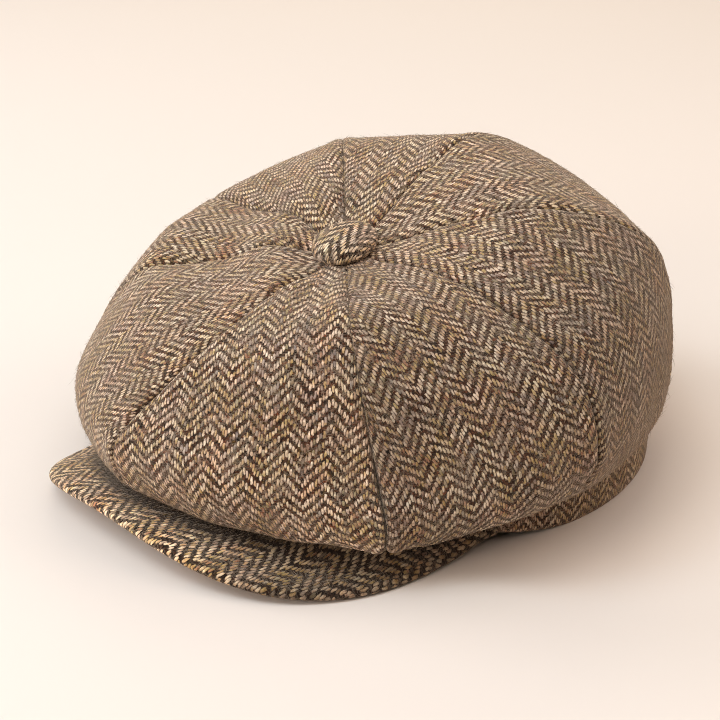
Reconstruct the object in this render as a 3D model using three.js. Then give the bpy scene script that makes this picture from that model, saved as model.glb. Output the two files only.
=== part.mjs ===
// Eight-panel tweed cap: eight crown panels, a band, a stiff peak and a covered button.
// Millimetres, +Z up, the peak points to -Y. The cap lies on its band and the sides of its peak.
import * as THREE from 'three';

// ---- driving sizes (mm) ----
const CLOTH = 2.0;            // crown cloth wall
const GAP = 0.3;              // clear gap between neighbouring pieces
const BAND = { half_x: 90, front_y: 105, back_y: 92.5, wall: 2.2, height: 33 };
const PEAK = { centre_x: -3.5, side_y: -60, half_width: 80.5, depth: 103.6, roundness: 2.65, left_roundness: 2.75, arch: 26.0, wall: 3.2, end_deg: 63, end_width: 0.9 };
const BUTTON = { radius: 12.8, rise: 7.0 };
const APEX = { x: -1.5, y: -45.5, z: 94.5 };
const SEAT = { radius: 16, slope: 0.30 };   // flat patch under the button, rising to the back
const JOIN_DROP = 1.5;                      // crown cloth meets the band this far below its top edge
const TURN_EASE = 0.25;                      // seam edges stand this much farther apart where the cloth turns under
const TIP = 3.2;                            // panels stop this far from the apex

const PANEL_STEPS = { across: 8, along: 26 };
const BAND_STEPS = { round: 64, up: 2 };
const PEAK_STEPS = { round: 30, out: 5 };
const BUTTON_STEPS = { round: 24, up: 7 };

// one row per crown seam, from the front seam on round the wearer's left
// deg: plan direction from the button, 0 = front; sway: sideways bow of the seam; turn: extra degrees below the shoulder
// in_z, mid_z: heights on the top; shoulder, reach (widest) and roll (lowest) as radius and height
const SEAM_COLUMNS = ['deg', 'sway', 'turn', 'in_z', 'mid_z', 'shoulder_r', 'shoulder_z', 'reach_r', 'reach_z', 'roll_r', 'roll_z'];
const SEAM_ROWS = [
  [0,    -1.4,  0,  88.5,  80.3,  85.2, 68.0, 112.5, 51.0, 103.0, 31.2],   // front
  [52,   -4.0,  1,  90.0,  87.0,  84.0, 62.5, 114.5, 39.5, 113.0, 30.0],   // front, wearer's left
  [92.5,  0.5,  0,  97.6,  93.1, 112.0, 75.7, 120.5, 48.0, 108.0, 29.0],   // side
  [135.7,-5.3,  5, 106.5, 113.5, 114.8, 98.4, 128.4, 59.0, 128.0, 28.5],   // back side
  [180,   4.5,  0, 114.5, 121.8, 122.4, 98.8, 151.0, 58.0, 148.0, 31.0],   // back
  [226.1, 1.9, -5, 107.5, 113.1, 116.6, 95.7, 134.5, 60.0, 131.0, 29.5],   // back side
  [260.9,-0.5,  0,  97.6,  90.6, 103.2, 83.8, 120.2, 47.5, 111.5, 28.5],   // side
  [301.3,-6.7,  0,  92.0,  81.8,  84.2, 76.5, 108.2, 43.0, 109.6, 28.5],   // front, wearer's right
];
// one row per panel, each between its seam row and the next:
// fullness of the top and side, sag of the roll over the band, and its spread outward past the band
const PUFF_COLUMNS = ['top', 'side', 'sag', 'spread'];
const PUFF_ROWS = [
  [0.050, 0.066, 0.045, 0.00], [0.050, 0.046, 0.030, 0.00], [0.050, 0.056, 0.050, 0.02], [0.025, 0.041, 0.020, 0.13],
  [0.011, 0.045, 0.020, 0.12], [0.048, 0.062, 0.046, 0.03], [0.065, 0.069, 0.062, 0.00], [0.049, 0.073, 0.059, 0.00],
];
// height of the band's lower rim above the table round the band: the peak's arch lifts the front
const LIFT_COLUMNS = ['deg', 'z'];
const LIFT_ROWS = [[0, 25.5], [20, 23], [40, 15], [55, 8.6], [64, 5.4], [73, 2.2], [84, 0], [180, 0]];
// soft dents and swells of the cloth: panel, place across and along it, depth and spread
const DENT_COLUMNS = ['panel', 'across', 'along', 'depth', 'spread_across', 'spread_along'];
const DENT_ROWS = [
  [6, 0.15, 3.4, 2.2, 0.25, 0.8],
  [0, 0.60, 2.6, 1.6, 0.30, 0.7],
  [2, 0.30, 3.0, 1.2, 0.25, 0.7],
];

const rowsToObjects = (columns, rows) => rows.map((row) => Object.fromEntries(columns.map((c, i) => [c, row[i]])));
const seams = rowsToObjects(SEAM_COLUMNS, SEAM_ROWS);
const puffs = rowsToObjects(PUFF_COLUMNS, PUFF_ROWS);
const lifts = rowsToObjects(LIFT_COLUMNS, LIFT_ROWS);
const dents = rowsToObjects(DENT_COLUMNS, DENT_ROWS);
const TAU = Math.PI * 2;
const rad = THREE.MathUtils.degToRad;
const V = (x, y, z) => new THREE.Vector3(x, y, z);
const smooth = (t) => { const c = Math.min(1, Math.max(0, t)); return c * c * (3 - 2 * c); };

// ---- shared shapes ----
function bandLift(angle) {
  const deg = Math.abs(THREE.MathUtils.euclideanModulo(THREE.MathUtils.radToDeg(angle) + 180, 360) - 180);
  let i = 0;
  while (i < lifts.length - 2 && deg > lifts[i + 1].deg) i += 1;
  const a = lifts[i], b = lifts[i + 1];
  const slope = (j) => (j <= 0 || j >= lifts.length - 1) ? 0
    : (lifts[j + 1].z - lifts[j - 1].z) / (lifts[j + 1].deg - lifts[j - 1].deg);
  const w = b.deg - a.deg, t = (deg - a.deg) / w;
  const m0 = slope(i) * w, m1 = (b.z === 0 && a.z === 0) || b.z === 0 ? 0 : slope(i + 1) * w;
  const m0c = a.z === 0 ? 0 : m0;
  return Math.max(0, (2 * t ** 3 - 3 * t * t + 1) * a.z + (t ** 3 - 2 * t * t + t) * m0c
    + (-2 * t ** 3 + 3 * t * t) * b.z + (t ** 3 - t * t) * m1);
}
// point on the band's egg-shaped oval, grown outward by `out`
const bandY = (angle) => (Math.cos(angle) > 0 ? BAND.front_y : BAND.back_y);
const onBand = (angle, out, z) => V((BAND.half_x + out) * Math.sin(angle), -(bandY(angle) + out) * Math.cos(angle), z);

// the front of crown and peak settles back and down, along lines from a far point in front of the cap
const SAG = { far: { x: 409, y: -435, z: 314 }, drop: 13, floor_z: 3.2, turn_z: 34, fade_z: 66, clear: 40, front_y: -60, run: 45 };
function sag(p) {
  const q = Math.hypot(p.x / BAND.half_x, p.y / (p.y < 0 ? BAND.front_y : BAND.back_y));
  const clear = (1 - 1 / Math.max(q, 1)) * Math.hypot(p.x, p.y);      // how far outside the band
  const rise = p.z < SAG.turn_z ? 1 - (1 - Math.max(0, (p.z - SAG.floor_z) / (SAG.turn_z - SAG.floor_z))) ** 2 : 1 - smooth((p.z - SAG.turn_z) / SAG.fade_z);
  const drop = SAG.drop * rise * smooth(clear / SAG.clear) * smooth((SAG.front_y - p.y) / SAG.run);
  const t = drop / (SAG.far.z - p.z);
  return V(p.x + (p.x - SAG.far.x) * t, p.y + (p.y - SAG.far.y) * t, p.z + (p.z - SAG.far.z) * t);
}
const joinPoint = (angle) => onBand(angle, 2 * GAP, bandLift(angle) + BAND.height - JOIN_DROP);
function seamCurve(s) {
  const a = rad(s.deg), low = rad(s.deg + s.turn);
  const at = (r, z, side = 0, dir = a) => V(APEX.x + r * Math.sin(dir) + side * Math.cos(dir), APEX.y - r * Math.cos(dir) + side * Math.sin(dir), z);
  const roll = at(s.roll_r, s.roll_z, 0, low);
  const join = Math.atan2(roll.x / BAND.half_x, -roll.y / (roll.y < 0 ? BAND.front_y : BAND.back_y));
  const seatZ = APEX.z - SEAT.slope * SEAT.radius * Math.cos(a);
  const points = [at(0, APEX.z), at(SEAT.radius, seatZ, 0.3 * s.sway), at(0.36 * s.shoulder_r, s.in_z, 0.6 * s.sway),
    at(0.65 * s.shoulder_r, s.mid_z, s.sway), at(s.shoulder_r, s.shoulder_z, 0.35 * s.sway),
    at(s.reach_r, s.reach_z, 0, low), roll, joinPoint(join)];
  const curve = new THREE.CatmullRomCurve3(points, false, 'centripetal');
  return { curve, join, segments: points.length - 1, at: (k) => curve.getPoint(Math.min(1, Math.max(0, k / (points.length - 1)))) };
}
const curves = seams.map(seamCurve);
const STATIONS = curves[0].segments;             // stations: 0 apex, 1 seat, 2 in, 3 mid, 4 shoulder, 5 reach, 6 roll, 7 join

function puffAt(p, k) {
  const full = [0, 0.15 * p.top, 0.9 * p.top, p.top, 0.6 * p.top + 0.4 * p.side, p.side, p.sag, 0];
  const i = Math.min(STATIONS - 1, Math.floor(k)), t = k - i;
  return full[i] + (full[i + 1] - full[i]) * smooth(t);
}
const between = (a, b, u) => a + (THREE.MathUtils.euclideanModulo(b - a + Math.PI, TAU) - Math.PI) * u;

// a point of panel n at place u across it (0..1) and station k along it
function crownPoint(n, u, k) {
  const A = curves[n], B = curves[(n + 1) % curves.length];
  const a = A.at(k), b = B.at(k);
  const step = 0.02, k0 = Math.max(0, k - step), k1 = Math.min(STATIONS, k + step);
  const along = A.at(k1).add(B.at(k1)).sub(A.at(k0)).sub(B.at(k0)).normalize();
  const chord = b.clone().sub(a), width = chord.length();
  const out = along.clone().cross(chord.clone().normalize()).normalize();
  const hump = 4 * u * (1 - u);
  const flat = V(chord.y, -chord.x, 0).normalize();   // straight out over the band
  const low = k < 6 ? smooth((k - 4) / 2) : 1 - smooth(k - 6);
  const p = a.clone().lerp(b, u).addScaledVector(out, puffAt(puffs[n], k) * width * hump)
    .addScaledVector(flat, puffs[n].spread * low * width * hump);
  for (const d of dents) {
    if (d.panel !== n) continue;
    const g = Math.exp(-(((u - d.across) / d.spread_across) ** 2) - ((k - d.along) / d.spread_along) ** 2);
    p.addScaledVector(out, -d.depth * g * hump);
  }
  if (k > STATIONS - 1) {                         // the lower edge follows the band
    const w = smooth(k - (STATIONS - 1));
    const at = between(A.join, B.join, u);
    const loft = A.at(STATIONS).lerp(B.at(STATIONS), u);
    p.addScaledVector(joinPoint(at).sub(loft), w);
  }
  return sag(p);
}
function crownNormal(n, u, k) {
  const e = 0.01;
  const du = crownPoint(n, Math.min(1, u + e), k).sub(crownPoint(n, Math.max(0, u - e), k));
  const dk = crownPoint(n, u, Math.min(STATIONS, k + e)).sub(crownPoint(n, u, Math.max(0, k - e)));
  return dk.cross(du).normalize();
}

// ---- closed sheets from a grid of outer and inner points ----
function sheet(rows, columns, outer, inner, wrap = false) {
  const positions = [], index = [];
  const put = (grid) => { for (const row of grid) for (const p of row) positions.push(p.x, p.y, p.z); };
  put(outer); put(inner);
  const size = rows * columns;
  const id = (side, r, c) => side * size + r * columns + (wrap ? c % columns : c);
  const quad = (a, b, c, d) => index.push(a, b, c, a, c, d);
  const spans = wrap ? columns : columns - 1;
  for (let r = 0; r < rows - 1; r++) for (let c = 0; c < spans; c++) {
    quad(id(0, r, c), id(0, r + 1, c), id(0, r + 1, c + 1), id(0, r, c + 1));
    quad(id(1, r, c), id(1, r, c + 1), id(1, r + 1, c + 1), id(1, r + 1, c));
  }
  for (let c = 0; c < spans; c++) {
    quad(id(0, 0, c), id(0, 0, c + 1), id(1, 0, c + 1), id(1, 0, c));
    quad(id(0, rows - 1, c), id(1, rows - 1, c), id(1, rows - 1, c + 1), id(0, rows - 1, c + 1));
  }
  if (!wrap) for (let r = 0; r < rows - 1; r++) {
    quad(id(0, r, 0), id(1, r, 0), id(1, r + 1, 0), id(0, r + 1, 0));
    quad(id(0, r, columns - 1), id(0, r + 1, columns - 1), id(1, r + 1, columns - 1), id(1, r, columns - 1));
  }
  const g = new THREE.BufferGeometry();
  g.setAttribute('position', new THREE.Float32BufferAttribute(positions, 3));
  g.setIndex(index);
  g.computeVertexNormals();
  return g;
}
function outward(g) {            // turn the faces outward when the enclosed volume comes out negative
  const p = g.attributes.position, ix = g.index.array;
  const a = V(), b = V(), c = V();
  let vol = 0;
  for (let i = 0; i < ix.length; i += 3) {
    a.fromBufferAttribute(p, ix[i]); b.fromBufferAttribute(p, ix[i + 1]); c.fromBufferAttribute(p, ix[i + 2]);
    vol += a.dot(b.cross(c)) / 6;
  }
  if (vol < 0) { for (let i = 0; i < ix.length; i += 3) [ix[i + 1], ix[i + 2]] = [ix[i + 2], ix[i + 1]]; g.computeVertexNormals(); }
  return g;
}

// station of each row of a panel: close rows where the cloth turns
const first = (n) => { let k = 0; while (curves[n].at(k).distanceTo(curves[n].at(0)) < TIP) k += 0.01; return k; };
const TIP_STATION = Math.max(...curves.map((_, n) => first(n)));
function stationRow(i) {
  const t = i / PANEL_STEPS.along;
  return TIP_STATION + (STATIONS - TIP_STATION) * t;
}

function panel(n) {
  const { across, along } = PANEL_STEPS;
  const outer = [], inner = [];
  const prev = (n + seams.length - 1) % seams.length, next = (n + 1) % seams.length;
  for (let i = 0; i <= along; i++) {
    const k = stationRow(i), o = [], q = [];
    for (let j = 0; j <= across; j++) {
      const u = j / across;
      const p = crownPoint(n, u, k);
      let nv = crownNormal(n, u, k);
      if (j === 0 || j === across) {              // seam edge: one shared wall direction for both panels
        const mine = nv.clone(), other = j === 0 ? crownNormal(prev, 1, k) : crownNormal(next, 0, k);
        const mid = mine.clone().add(other).normalize();
        const tangent = crownPoint(n, u, Math.min(STATIONS, k + 0.02)).sub(crownPoint(n, u, Math.max(0, k - 0.02))).normalize();
        const side = tangent.clone().cross(mid).normalize();
        const inward = crownPoint(n, j === 0 ? 0.1 : 0.9, k).sub(p);
        if (side.dot(inward) < 0) side.multiplyScalar(-1);
        p.addScaledVector(side, GAP / 2 + TURN_EASE * smooth(k - 5));
        nv = mid.multiplyScalar(1 / Math.max(0.6, mid.dot(mine)));
      }
      o.push(p); q.push(p.clone().addScaledVector(nv, -CLOTH));
    }
    outer.push(o); inner.push(q);
  }
  return outward(sheet(along + 1, across + 1, outer, inner));
}

function band() {
  const { round, up } = BAND_STEPS;
  const outer = [], inner = [];
  for (let i = 0; i <= up; i++) {
    const o = [], q = [];
    for (let j = 0; j < round; j++) {
      const a = TAU * j / round, z = bandLift(a) + BAND.height * i / up;
      o.push(onBand(a, 0, z)); q.push(onBand(a, -BAND.wall, z));
    }
    outer.push(o); inner.push(q);
  }
  return outward(sheet(up + 1, round, outer, inner, true));
}

// underside height of the peak's arch over its width
const archZ = (x) => PEAK.arch * (1 - Math.min(1, Math.abs((x - PEAK.centre_x) / PEAK.half_width)) ** 2);
function peakEdge(f) {           // f from -1 (one end) over 0 (front) to 1 (other end)
  const sign = Math.sign(f) || 1, end = rad(PEAK.end_deg);
  const endPoint = onBand(end, GAP + PEAK.end_width, 0);
  const turn = 0.84, t = Math.abs(f);
  let x, y;
  if (t < turn) {
    const th = (t / turn) * Math.PI / 2, e = 2 / (f < 0 ? PEAK.roundness : PEAK.left_roundness);
    x = PEAK.half_width * Math.abs(Math.sin(th)) ** e;
    y = PEAK.side_y - PEAK.depth * Math.abs(Math.cos(th)) ** e;
  } else {
    const s = (t - turn) / (1 - turn);
    x = THREE.MathUtils.lerp(PEAK.half_width, endPoint.x - sign * PEAK.centre_x, smooth(s));
    y = THREE.MathUtils.lerp(PEAK.side_y, endPoint.y, s);
  }
  const px = PEAK.centre_x + sign * x;
  const z = THREE.MathUtils.lerp(archZ(px), bandLift(end), smooth((t - 0.78) / 0.22));
  return V(px, y, z);
}
function peak() {
  const { round, out } = PEAK_STEPS;
  const top = [], under = [];
  for (let i = 0; i <= round; i++) {
    const f = -1 + 2 * i / round, g = Math.sign(f) * Math.abs(f) ** 1.15;
    const a = rad(PEAK.end_deg) * g;
    const root = onBand(a, GAP, bandLift(a));
    const edge = peakEdge(g);
    const rowT = [], rowU = [];
    for (let j = 0; j <= out; j++) {
      const s = j / out;
      const wall = V(0, 0, PEAK.wall), p = sag(root.clone().lerp(edge, s).add(wall)).sub(wall);
      const thin = s > 0.999 ? 0.55 : 1;          // the edge is pressed thinner
      rowU.push(p.clone().add(V(0, 0, PEAK.wall * (1 - thin) / 2)));
      rowT.push(p.clone().add(V(0, 0, PEAK.wall * (1 + thin) / 2)));
    }
    top.push(rowT); under.push(rowU);
  }
  return outward(sheet(round + 1, out + 1, top, under));
}

function button() {
  const { round, up } = BUTTON_STEPS;
  const tilt = Math.atan(SEAT.slope);
  const frame = new THREE.Matrix4().makeRotationX(tilt).setPosition(APEX.x, APEX.y, APEX.z);
  const back = frame.clone().invert();
  let lift = 0;                                   // highest cloth under the button, in the button's frame
  for (let n = 0; n < seams.length; n++) for (let j = 0; j <= 8; j++) for (let k = 0; k <= 1.2; k += 0.05) {
    const q = crownPoint(n, j / 8, k).applyMatrix4(back);
    if (Math.hypot(q.x, q.y) < BUTTON.radius + 1) lift = Math.max(lift, q.z);
  }
  const base = lift + GAP;
  const profile = [new THREE.Vector2(0, base)];
  profile.push(new THREE.Vector2(BUTTON.radius - 1.6, base));
  for (let i = 0; i <= up; i++) {
    const a = -0.35 * Math.PI / 2 + (1.35 * Math.PI / 2) * i / up;
    const c = Math.max(0, Math.cos(a));
    const r = i === up ? 0 : BUTTON.radius * c ** 0.62;
    const z = base + 2.2 + (a < 0 ? 2.0 : BUTTON.rise - 2.2) * Math.sin(a);
    profile.push(new THREE.Vector2(r, z));
  }
  const g = new THREE.LatheGeometry(profile, round);
  g.rotateX(Math.PI / 2);
  g.applyMatrix4(frame);
  return g;
}

// ---- assembly ----
const cap = new THREE.Group();
cap.name = 'cap';
const TWEED = 0x8a7258;
function add(name, geometry, roughness) {
  const mesh = new THREE.Mesh(geometry, new THREE.MeshStandardMaterial({ color: TWEED, roughness, metalness: 0 }));
  mesh.name = name;
  cap.add(mesh);
}
for (let n = 0; n < seams.length; n++) add(`crown_panel_${n + 1}`, panel(n), 0.95);
add('band', band(), 0.95);
add('peak', peak(), 0.94);
add('button', button(), 0.93);

// rest on Z = 0 and centre the whole on the Z axis
const box = new THREE.Box3().setFromObject(cap);
const centre = box.getCenter(V());
for (const mesh of cap.children) mesh.geometry.translate(-centre.x, -centre.y, -box.min.z);

export default cap;
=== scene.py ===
import math

import bpy
import numpy as np
from mathutils import Matrix, Vector
from mathutils.kdtree import KDTree


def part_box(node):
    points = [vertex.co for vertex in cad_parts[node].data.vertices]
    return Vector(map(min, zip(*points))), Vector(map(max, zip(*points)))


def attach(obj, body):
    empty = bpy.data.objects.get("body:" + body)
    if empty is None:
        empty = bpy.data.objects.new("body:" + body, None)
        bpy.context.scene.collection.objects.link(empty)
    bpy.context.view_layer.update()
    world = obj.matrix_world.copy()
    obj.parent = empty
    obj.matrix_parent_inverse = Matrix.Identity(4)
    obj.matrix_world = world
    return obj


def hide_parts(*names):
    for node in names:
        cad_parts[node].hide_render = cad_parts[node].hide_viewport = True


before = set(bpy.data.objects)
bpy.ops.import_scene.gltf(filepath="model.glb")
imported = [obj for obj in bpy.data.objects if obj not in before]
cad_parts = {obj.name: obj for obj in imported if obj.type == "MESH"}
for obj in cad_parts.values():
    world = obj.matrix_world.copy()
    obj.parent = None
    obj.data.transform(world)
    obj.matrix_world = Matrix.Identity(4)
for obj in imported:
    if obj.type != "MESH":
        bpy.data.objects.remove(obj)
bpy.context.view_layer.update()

# ---------------------------------------------------------------- sizes (mm), as in the CAD
CLOTH, GAP = 2.0, 0.3
BAND = dict(half_x=90.0, front_y=105.0, back_y=92.5, wall=2.2, height=33.0)
PEAK = dict(centre_x=-3.5, side_y=-60.0, half_width=80.5, depth=103.6, roundness=2.65, left_roundness=2.75, arch=26.0, wall=3.2,
            end_deg=63.0, end_width=0.9)
BUTTON = dict(radius=12.8, rise=7.0)
APEX = np.array([-1.5, -45.5, 94.5])
SEAT = dict(radius=16.0, slope=0.30)
JOIN_DROP, TIP = 1.5, 3.2

SEAM_COLUMNS = ("deg", "sway", "turn", "in_z", "mid_z", "shoulder_r", "shoulder_z", "reach_r", "reach_z", "roll_r", "roll_z")
SEAM_ROWS = (
    (0.0, -1.4, 0, 88.5, 80.3, 85.2, 68.0, 112.5, 51.0, 103.0, 31.2),
    (52.0, -4.0, 1, 90.0, 87.0, 84.0, 62.5, 114.5, 39.5, 113.0, 30.0),
    (92.5, 0.5, 0, 97.6, 93.1, 112.0, 75.7, 120.5, 48.0, 108.0, 29.0),
    (135.7, -5.3, 5, 106.5, 113.5, 114.8, 98.4, 128.4, 59.0, 128.0, 28.5),
    (180.0, 4.5, 0, 114.5, 121.8, 122.4, 98.8, 151.0, 58.0, 148.0, 31.0),
    (226.1, 1.9, -5, 107.5, 113.1, 116.6, 95.7, 134.5, 60.0, 131.0, 29.5),
    (260.9, -0.5, 0, 97.6, 90.6, 103.2, 83.8, 120.2, 47.5, 111.5, 28.5),
    (301.3, -6.7, 0, 92.0, 81.8, 84.2, 76.5, 108.2, 43.0, 109.6, 28.5),
)
PUFF_COLUMNS = ("top", "side", "sag", "spread")
PUFF_ROWS = (
    (0.050, 0.066, 0.045, 0.00), (0.050, 0.046, 0.030, 0.00), (0.050, 0.056, 0.050, 0.02), (0.025, 0.041, 0.020, 0.13),
    (0.011, 0.045, 0.020, 0.12), (0.048, 0.062, 0.046, 0.03), (0.065, 0.069, 0.062, 0.00), (0.049, 0.073, 0.059, 0.00),
)
LIFT_ROWS = ((0, 25.5), (20, 23), (40, 15), (55, 8.6), (64, 5.4), (73, 2.2), (84, 0), (180, 0))
DENT_COLUMNS = ("panel", "across", "along", "depth", "spread_across", "spread_along")
DENT_ROWS = ((6, 0.15, 3.4, 2.2, 0.25, 0.8), (0, 0.60, 2.6, 1.6, 0.30, 0.7), (2, 0.30, 3.0, 1.2, 0.25, 0.7))

# ---------------------------------------------------------------- looks
# seam groove per seam: depth (mm) at the top and low down, half width (mm), painted shade of its line (partly the dark
# joint) at the top and low down
GROOVE_COLUMNS = ("top", "low", "width", "dark_top", "dark_low")
GROOVE_ROWS = ((1.0, 1.1, 0.85, 0.30, 0.35), (0.8, 2.0, 0.75, 0.25, 0.85), (1.1, 1.3, 0.90, 0.35, 0.35), (1.3, 1.5, 0.90, 0.35, 0.35),
               (0.9, 1.0, 0.85, 0.30, 0.30), (0.9, 1.0, 0.85, 0.30, 0.30), (1.1, 1.2, 0.90, 0.35, 0.35), (1.1, 1.2, 0.90, 0.35, 0.35))
# soft creases drawn on a panel: panel, from (across, along) to (across, along), height (mm), half width (mm)
CREASE_COLUMNS = ("panel", "u0", "k0", "u1", "k1", "height", "width")
CREASE_ROWS = (
    (0, 0.62, 5.75, 0.86, 5.35, 1.3, 5.0), (0, 0.66, 6.05, 0.90, 5.75, -1.0, 4.0),
    (1, 0.10, 5.7, 0.30, 5.2, 0.9, 5.0), (6, 0.30, 5.6, 0.55, 4.6, -0.9, 6.0),
    (7, 0.75, 5.9, 0.60, 5.0, -0.6, 6.0), (3, 0.3, 5.6, 0.45, 4.4, -1.2, 7.0),
    (4, 0.6, 5.7, 0.5, 4.5, -1.0, 7.0), (2, 0.6, 5.8, 0.52, 4.8, -0.9, 6.0), (5, 0.5, 5.8, 0.45, 4.6, -0.9, 6.0),
)
WEAVE = dict(end=1.04, pick=1.06, ends_per_column=7)
PEAK_WEAVE = (0.87, 0.86)              # the cloth over the peak is drawn tight, and its grain is turned
PEAK_GRAIN = math.radians(13)
# how far the cloth of each panel is cut off its middle line (degrees), and where the weave starts (mm)
GRAIN_COLUMNS = ("deg", "shift")
GRAIN_ROWS = ((-11.0, 0.0), (-9.0, 2.0), (18.0, 4.0), (12.0, 1.0), (0.0, 3.0), (0.0, 5.0), (0.0, 2.5), (0.0, 6.0))

ROWS = lambda columns, rows: [dict(zip(columns, r)) for r in rows]
SEAMS, PUFFS, DENTS = ROWS(SEAM_COLUMNS, SEAM_ROWS), ROWS(PUFF_COLUMNS, PUFF_ROWS), ROWS(DENT_COLUMNS, DENT_ROWS)
GROOVES, CREASES, GRAINS = ROWS(GROOVE_COLUMNS, GROOVE_ROWS), ROWS(CREASE_COLUMNS, CREASE_ROWS), ROWS(GRAIN_COLUMNS, GRAIN_ROWS)

low_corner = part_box("band")[0]
SHIFT = np.array([low_corner[0] * 1000 + BAND["half_x"], low_corner[1] * 1000 + BAND["front_y"], 0.0])  # cap frame -> row frame


def smooth(t):
    c = np.clip(t, 0, 1)
    return c * c * (3 - 2 * c)


def unit(v):
    return v / np.maximum(np.linalg.norm(v, axis=-1, keepdims=True), 1e-9)


def vec(*parts):
    return np.stack(np.broadcast_arrays(*[np.asarray(p, float) for p in parts]), axis=-1)


# ---------------------------------------------------------------- band and seam lines
def band_lift(angle):
    deg = np.abs((np.degrees(angle) + 180) % 360 - 180)
    d = np.array([r[0] for r in LIFT_ROWS], float)
    z = np.array([r[1] for r in LIFT_ROWS], float)
    slope = np.zeros_like(z)
    slope[1:-1] = (z[2:] - z[:-2]) / (d[2:] - d[:-2])
    slope[z == 0] = 0
    i = np.clip(np.searchsorted(d, deg, side="right") - 1, 0, len(d) - 2)
    w = d[i + 1] - d[i]
    t = (deg - d[i]) / w
    h = ((2 * t**3 - 3 * t**2 + 1) * z[i] + (t**3 - 2 * t**2 + t) * slope[i] * w
         + (-2 * t**3 + 3 * t**2) * z[i + 1] + (t**3 - t**2) * slope[i + 1] * w)
    return np.maximum(h, 0)


def on_band(angle, out, z):
    y = np.where(np.cos(angle) > 0, BAND["front_y"], BAND["back_y"])
    return vec((BAND["half_x"] + out) * np.sin(angle), -(y + out) * np.cos(angle), z)


def join_point(angle):
    return on_band(angle, 2 * GAP, band_lift(angle) + BAND["height"] - JOIN_DROP)


class Line:
    """Centripetal Catmull-Rom line through points, by station."""

    def __init__(self, points):
        p = np.array(points, float)
        self.p = np.concatenate([[2 * p[0] - p[1]], p, [2 * p[-1] - p[-2]]])
        self.last = len(p) - 1

    def at(self, k):
        k = np.clip(np.asarray(k, float), 0, self.last)
        i = np.minimum(np.floor(k).astype(int), self.last - 1)
        w = (k - i)[..., None]
        p0, p1, p2, p3 = (self.p[i + j] for j in range(4))
        d0, d1, d2 = (np.maximum(np.linalg.norm(b - a, axis=-1, keepdims=True) ** 0.5, 1e-2)
                      for a, b in ((p0, p1), (p1, p2), (p2, p3)))
        t1 = ((p1 - p0) / d0 - (p2 - p0) / (d0 + d1) + (p2 - p1) / d1) * d1
        t2 = ((p2 - p1) / d1 - (p3 - p1) / (d1 + d2) + (p3 - p2) / d2) * d1
        return p1 + t1 * w + (-3 * p1 + 3 * p2 - 2 * t1 - t2) * w**2 + (2 * p1 - 2 * p2 + t1 + t2) * w**3


def seam_line(s):
    a, low = math.radians(s["deg"]), math.radians(s["deg"] + s["turn"])

    def at(r, z, side=0.0, way=a):
        return np.array([APEX[0] + r * math.sin(way) + side * math.cos(way),
                         APEX[1] - r * math.cos(way) + side * math.sin(way), z])

    roll = at(s["roll_r"], s["roll_z"], 0, low)
    join = math.atan2(roll[0] / BAND["half_x"], -roll[1] / (BAND["front_y"] if roll[1] < 0 else BAND["back_y"]))
    seat_z = APEX[2] - SEAT["slope"] * SEAT["radius"] * math.cos(a)
    line = Line([at(0, APEX[2]), at(SEAT["radius"], seat_z, 0.3 * s["sway"]), at(0.36 * s["shoulder_r"], s["in_z"], 0.6 * s["sway"]),
                 at(0.65 * s["shoulder_r"], s["mid_z"], s["sway"]), at(s["shoulder_r"], s["shoulder_z"], 0.35 * s["sway"]),
                 at(s["reach_r"], s["reach_z"], 0, low), roll, join_point(np.array(join))])
    line.join = join
    return line


LINES = [seam_line(s) for s in SEAMS]
LAST = LINES[0].last
COUNT = len(LINES)


def puff_at(p, k):
    full = np.array([0, 0.15 * p["top"], 0.9 * p["top"], p["top"], 0.6 * p["top"] + 0.4 * p["side"], p["side"], p["sag"], 0])
    i = np.minimum(LAST - 1, np.floor(k).astype(int))
    return full[i] + (full[i + 1] - full[i]) * smooth(k - i)


# the front of crown and peak settles back and down, along lines from a far point in front of the cap
SAG = dict(far=(409.0, -435.0, 314.0), drop=13.0, floor_z=3.2, turn_z=34.0, fade_z=66.0, clear=40.0, front_y=-60.0, run=45.0)


def sag(p):
    x, y, z = p[..., 0], p[..., 1], p[..., 2]
    q = np.hypot(x / BAND["half_x"], y / np.where(y < 0, BAND["front_y"], BAND["back_y"]))
    clear = (1 - 1 / np.maximum(q, 1)) * np.hypot(x, y)
    rise = np.where(z < SAG["turn_z"], 1 - (1 - np.clip((z - SAG["floor_z"]) / (SAG["turn_z"] - SAG["floor_z"]), 0, 1)) ** 2, 1 - smooth((z - SAG["turn_z"]) / SAG["fade_z"]))
    drop = SAG["drop"] * rise * smooth(clear / SAG["clear"]) * smooth((SAG["front_y"] - y) / SAG["run"])
    return p + (p - np.array(SAG["far"])) * (drop / (SAG["far"][2] - z))[..., None]


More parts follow.
